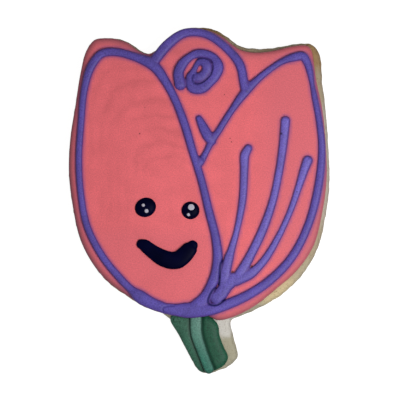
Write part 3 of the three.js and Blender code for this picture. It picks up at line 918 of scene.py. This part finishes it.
def petals_painted_shade(v):
    """Painted shade: the coral darker on the right petal, round the left one's foot and at the top."""
    right = min(1.0, (v.x - 15) / 8) - max(0.0, -v.y - 12) / 8
    low = min(0.6, (-v.y - 7) / 6, (9 - v.x) / 3)
    return max(right, low, (v.y - 37) / 10)


class COOKIE_OT_petal_icing(bpy.types.Operator):
    """Floods the coral icing over the petals"""

    bl_idname = "cookie.petal_icing"
    bl_label = "Petal Icing"

    def execute(self, context):
        sizes = context.scene.cookie_sizes
        bottom, top = sizes.biscuit_top / MM + LIFT, sizes.petal_top / MM
        outline = [s.xy for s in smooth_stations(PETAL_ICING_OUTLINE, 0.4, closed=True)]
        # The left side is rounded the most.
        shoulders = relaxed([1.2 + max(0.0, -n.x) for n in outward_normals(outline)], 30)
        bm = slab(outline, bottom, top, shoulders, drop=1.1, under=0.4, spacing=0.8)

        past = reach_past([*PURPLE_LINES, *rose_lines(), *VEIN_LINES])
        surface = top - 0.7
        for width in (0.9, 0.6):
            refine(bm, lambda v: v.z > surface and abs(past(v)) < width)
        # Painted shade, tinted purple, on the coral beside the piped lines.
        mark(bm, "foot", lambda v: falloff(max(past(v), 0), 0.45) if v.z > surface else 0.0)
        # Painted shade along the rounded edge, strongest at the left and on the lower half.
        shaded_rim = nearest([[(p.x, p.y) for p in [*outline, outline[0]]]], 0.5)
        mark(bm, "shaded_rim", lambda v: falloff(shaded_rim(v), 1.5) * (0.8 - 0.2 * v.x / 37 - 0.2 * max(v.y, 0) / 45))
        mark(bm, "fade", petals_painted_shade)
        for v in bm.verts:
            near_top = max(0.0, min(1.0, (v.co.z - top + 0.4) / 0.4))
            wave = unevenness(v.co, 0, 11) * 0.07 + unevenness(v.co, 9, 4.5) * 0.03
            v.co.z += near_top * (wave - 0.05)
        coral = icing("Coral Icing", context.scene.cookie_colours.coral)
        new_piece("petal_icing_flood", bm, ["petal_icing"], coral)
        return {"FINISHED"}


class COOKIE_OT_stem_icing(bpy.types.Operator):
    """Floods the dark green icing over the stem and lays the light green stripe on it"""

    bl_idname = "cookie.stem_icing"
    bl_label = "Stem Icing"

    def execute(self, context):
        sizes, colours = context.scene.cookie_sizes, context.scene.cookie_colours
        bottom, top = sizes.biscuit_top / MM + LIFT, sizes.stem_top / MM
        outline = [s.xy for s in smooth_stations(STEM_ICING_OUTLINE, 0.3, closed=True)]
        bm = slab(outline, bottom, top, [2.4] * len(outline), drop=1.1, under=0.35, spacing=0.35)

        past = reach_past(STEM_STRIPE_LINES)
        surface = top - 0.9
        # Painted shade beside the stripe and in its groove.
        mark(bm, "foot", lambda v: falloff(past(v), 0.6) if v.z > surface else 0.0)
        mark(bm, "crease_shade", lambda v: falloff(past(v), 0.4) if v.z > surface else 0.0)
        for v in bm.verts:
            if v.co.z > surface:
                v.co.z += unevenness(v.co, 3, 4) * 0.05 - 0.05
                v.co.z -= 0.2 * falloff(past(v.co), 0.4)
        middle = [s for line in STEM_STRIPE_LINES for s in smooth_stations(line, 0.5)]
        # Painted shade: the dark green darkens to the right of the stripe.
        mark(bm, "fade", lambda v: 0.5 + (v.x - min(middle, key=lambda s: abs(s.y - v.y)).x) / 3)
        bed = BVHTree.FromBMesh(bm)
        dark_green = icing("Dark Green Icing", colours.dark_green)
        new_piece("stem_icing_flood", bm, ["stem_icing"], dark_green)

        # The stripe sinks with the rounded edge of the icing that it lies on.
        bm = piped_skin(STEM_STRIPE_LINES, top - 0.15, sizes.flat_rise, sizes.tallest, voxel=0.2, fillet=0.1)
        down = Vector((0, 0, -1))
        for v in bm.verts:
            above = Vector((v.co.x, v.co.y, 20))
            under = bed.ray_cast(above, down)[0]
            if under:
                v.co.z -= max(0.0, top - 0.45 - under.z)
        # Painted shade at the stripe's foot and along its edges.
        mark_foot_shade(bm, STEM_STRIPE_LINES, 0.5)
        mark(bm, "crease_shade", lambda v: falloff(past(v), 0.22))
        mark(bm, "fade", lambda v: (-36 - v.y) / 10)
        light_green = icing("Light Green Icing", colours.light_green)
        new_piece("stem_stripe_bead", bm, ["stem_stripe"], light_green)
        return {"FINISHED"}


def with_margins(outline):
    """The biscuit's own edge beyond an icing outline."""
    points = [Vector(p) for p in outline]
    return [p.xy + n * p.z for p, n in zip(points, outward_normals([p.xy for p in points]))]


class COOKIE_OT_biscuit(bpy.types.Operator):
    """Bakes the biscuit under the icing"""

    bl_idname = "cookie.biscuit"
    bl_label = "Biscuit"

    def execute(self, context):
        colours = context.scene.cookie_colours
        petals = with_margins(PETAL_ICING_OUTLINE)
        stem = with_margins(STEM_ICING_OUTLINE)
        edge = petals[PETALS_LEAVE_STEM:PETALS_MEET_STEM] + stem[STEM_LEAVES_PETALS:]
        outline = [s.xy for s in smooth_stations([(p.x, p.y, 0) for p in edge], 0.45, closed=True)]
        outline = [p + n * 0.16 * unevenness(p, 5, 1.6) for p, n in zip(outline, outward_normals(outline))]
        top = context.scene.cookie_sizes.biscuit_top / MM
        bm = slab(outline, 0.0, top, [1.1] * len(outline), drop=1.5, under=0.8, spacing=1.2)

        walls = [e for e in bm.edges if abs(e.verts[0].co.z - e.verts[1].co.z) > 2]
        bmesh.ops.subdivide_edges(bm, edges=walls, cuts=9, use_grid_fill=True)
        bm.normal_update()
        for v in bm.verts:
            crumbs = noise.noise(v.co / 1.7) * 0.14 + noise.noise(v.co / 0.7) * 0.07
            v.co += v.normal * crumbs * max(0.0, min(1.0, v.co.z - 0.3))
        baked = biscuit_material(colours.dough, colours.crust)
        new_piece("biscuit_baked", bm, ["biscuit"], baked)
        return {"FINISHED"}


class COOKIE_OT_petal_lines(bpy.types.Operator):
    """Pipes the purple outlines of the petals and the fold of the bud"""

    bl_idname = "cookie.petal_lines"
    bl_label = "Petal Lines"

    def execute(self, context):
        sizes = context.scene.cookie_sizes
        bm = piped_skin(
            PURPLE_LINES, sizes.petal_top / MM, sizes.line_rise, sizes.tallest, voxel=0.25, fillet=0.2)
        mark_foot_shade(bm, PURPLE_LINES, 0.42)
        crease(bm, **OUTLINE_CREASES)
        crease(bm, **VEIN_CREASES)
        nodes = ["right_petal_line", "left_petal_line", "centre_petal_line", "bud_fold_line"]
        purple = icing("Purple Icing", context.scene.cookie_colours.purple)
        new_piece("petal_line_beads", bm, nodes, purple)
        return {"FINISHED"}


class COOKIE_OT_veins(bpy.types.Operator):
    """Pipes the veins that fan out over the right petal"""

    bl_idname = "cookie.veins"
    bl_label = "Petal Veins"

    def execute(self, context):
        sizes = context.scene.cookie_sizes
        bm = piped_skin(
            VEIN_LINES, sizes.petal_top / MM, sizes.line_rise, sizes.tallest, voxel=0.16, fillet=0.07)
        mark_foot_shade(bm, VEIN_LINES, 0.42)
        crease(bm, **VEIN_CREASES)
        mark(bm, "fade", lambda v: (-20 - v.y) / 5)
        violet = icing("Violet Icing", context.scene.cookie_colours.violet)
        new_piece("petal_vein_beads", bm, ["petal_veins"], violet)
        return {"FINISHED"}


class COOKIE_OT_rose(bpy.types.Operator):
    """Pipes the rose that winds inwards on the middle petal"""

    bl_idname = "cookie.rose"
    bl_label = "Rose"

    def execute(self, context):
        sizes = context.scene.cookie_sizes
        bm = piped_skin(
            rose_lines(), sizes.petal_top / MM, sizes.line_rise, sizes.tallest, voxel=0.16, fillet=0.08)
        mark_foot_shade(bm, rose_lines(), 0.35)
        crease(bm, **ROSE_CREASES)
        purple = icing("Purple Icing", context.scene.cookie_colours.purple)
        new_piece("rose_spiral_bead", bm, ["rose_spiral"], purple)
        return {"FINISHED"}


class COOKIE_OT_face(bpy.types.Operator):
    """Drops the eyes with their white glints and pipes the smile"""

    bl_idname = "cookie.face"
    bl_label = "Face"

    def execute(self, context):
        sizes, colours = context.scene.cookie_sizes, context.scene.cookie_colours
        top = sizes.petal_top / MM
        navy = icing("Navy Icing", colours.navy)
        white = icing("White Icing", colours.white)
        for name, eye in EYES.items():
            at, radius, height = eye["at"], eye["radius"], eye["height"]
            bm = bmesh.new()
            drop_of_icing(bm, at, top, radius, height, 48, eye["stretch"], eye["turn"])
            new_piece(f"{name}_drop", bm, [name], navy)
            bm = bmesh.new()
            for x, y, size in eye["glints"]:
                eye_top = top + height * math.sqrt(1 - (x * x + y * y) / radius**2)
                drop_of_icing(bm, (at[0] + x, at[1] + y), eye_top - GLINT_SINK, size, GLINT_HEIGHT, 24)
            new_piece(f"{name}_glints", bm, [name], white)
        bm = piped_skin(SMILE_LINES, top, sizes.flat_rise, sizes.tallest, voxel=0.2, fillet=0.35)
        new_piece("smile_bead", bm, ["smile"], navy)
        return {"FINISHED"}


class COOKIE_OT_stage(bpy.types.Operator):
    """Sets the cookie on a plain floor under a large softbox, with a camera almost overhead"""

    bl_idname = "cookie.stage"
    bl_label = "Stage"

    def execute(self, context):
        scene, studio = context.scene, context.scene.studio_settings
        bm = bmesh.new()
        lowered = Matrix.Translation((0, 0, -FLOOR_DROP))
        bmesh.ops.create_grid(bm, x_segments=1, y_segments=1, size=2, matrix=lowered)
        mesh = bpy.data.meshes.new("studio_floor")
        bm.to_mesh(mesh)
        bm.free()
        mesh.materials.append(floor_material(studio.floor))
        floor = bpy.data.objects.new("studio_floor", mesh)
        context.collection.objects.link(floor)

        world = bpy.data.worlds.new("studio")
        world.use_nodes = True
        self.light_world(world.node_tree, studio.fill_strength)
        scene.world = world

        self.add_softbox(context, studio.key_power)
        self.add_camera(context)
        scene.view_settings.view_transform = "Standard"
        return {"FINISHED"}

    def light_world(self, tree, strength):
        """A ceiling, bright overhead and falling off towards the horizon, and light from under the floor."""
        direction = node(tree, "ShaderNodeTexCoord").outputs["Generated"]
        height = node(tree, "ShaderNodeSeparateXYZ", {"Vector": direction}).outputs["Z"]
        seen = node(tree, "ShaderNodeLightPath").outputs["Is Camera Ray"]
        ceiling = maths(tree, "ADD", maths(tree, "MULTIPLY", ramp(tree, height, 0.0, 0.9), 0.85), 0.15)
        ceiling = maths(tree, "MAXIMUM", ceiling, maths(tree, "LESS_THAN", height, 0.0))
        shown = maths(tree, "MAXIMUM", ceiling, seen)
        background = tree.nodes["Background"]
        background.inputs["Color"].default_value = (1, 1, 1, 1)
        tree.links.new(maths(tree, "MULTIPLY", shown, strength), background.inputs["Strength"])

    def add_softbox(self, context, power):
        light = bpy.data.lights.new("key_light", "AREA")
        light.shape = "DISK"
        light.size = KEY_LIGHT_SIZE
        light.energy = power
        box = bpy.data.objects.new("key_light", light)
        box.location = KEY_LIGHT_PLACE
        box.rotation_euler = Vector(KEY_LIGHT_PLACE).to_track_quat("Z", "Y").to_euler()
        box.visible_camera = False
        context.collection.objects.link(box)

    def add_camera(self, context):
        level, up = math.cos(CAMERA_ELEVATION), math.sin(CAMERA_ELEVATION)
        back = Vector((math.sin(CAMERA_AZIMUTH) * level, -math.cos(CAMERA_AZIMUTH) * level, up))
        right = Vector((0, 1, 0)).cross(back).normalized()
        turn = Matrix((right, back.cross(right), back)).transposed()
        data = bpy.data.cameras.new("overhead")
        data.sensor_width = SENSOR_WIDTH
        data.lens = SENSOR_WIDTH * CAMERA_DISTANCE / VIEW_WIDTH
        data.clip_start = 0.1
        data.clip_end = 10
        camera = bpy.data.objects.new("overhead", data)
        place = Vector(CAMERA_TARGET) + back * CAMERA_DISTANCE
        camera.matrix_world = Matrix.Translation(place) @ turn.to_4x4()
        context.collection.objects.link(camera)
        context.scene.camera = camera


class COOKIE_PT_panel(bpy.types.Panel):
    """Lists the cookie's settings and pieces"""

    bl_label = "Iced Tulip Cookie"
    bl_idname = "COOKIE_PT_panel"
    bl_space_type = "VIEW_3D"
    bl_region_type = "UI"
    bl_category = "Cookie"

    def draw(self, context):
        layout = self.layout
        for name in GROUPS:
            settings = getattr(context.scene, name)
            box = layout.box()
            for key in settings.bl_rna.properties.keys():
                if key not in ("rna_type", "name"):
                    box.prop(settings, key)
        for operator in OPERATORS:
            layout.operator(operator.bl_idname)


GROUPS = {"cookie_sizes": CookieSizes, "cookie_colours": CookieColours, "studio_settings": StudioSettings}
OPERATORS = [
    COOKIE_OT_biscuit, COOKIE_OT_petal_icing, COOKIE_OT_stem_icing, COOKIE_OT_petal_lines, COOKIE_OT_veins,
    COOKIE_OT_rose, COOKIE_OT_face, COOKIE_OT_stage,
]
CLASSES = [*GROUPS.values(), *OPERATORS, COOKIE_PT_panel]


def register():
    for cls in CLASSES:
        bpy.utils.register_class(cls)
    for name, group in GROUPS.items():
        setattr(bpy.types.Scene, name, bpy.props.PointerProperty(type=group))


def unregister():
    for name in GROUPS:
        delattr(bpy.types.Scene, name)
    for cls in reversed(CLASSES):
        bpy.utils.unregister_class(cls)


def main():
    register()
    for operator in OPERATORS:
        space, name = operator.bl_idname.split(".")
        getattr(getattr(bpy.ops, space), name)()


if __name__ == "__main__":
    main()
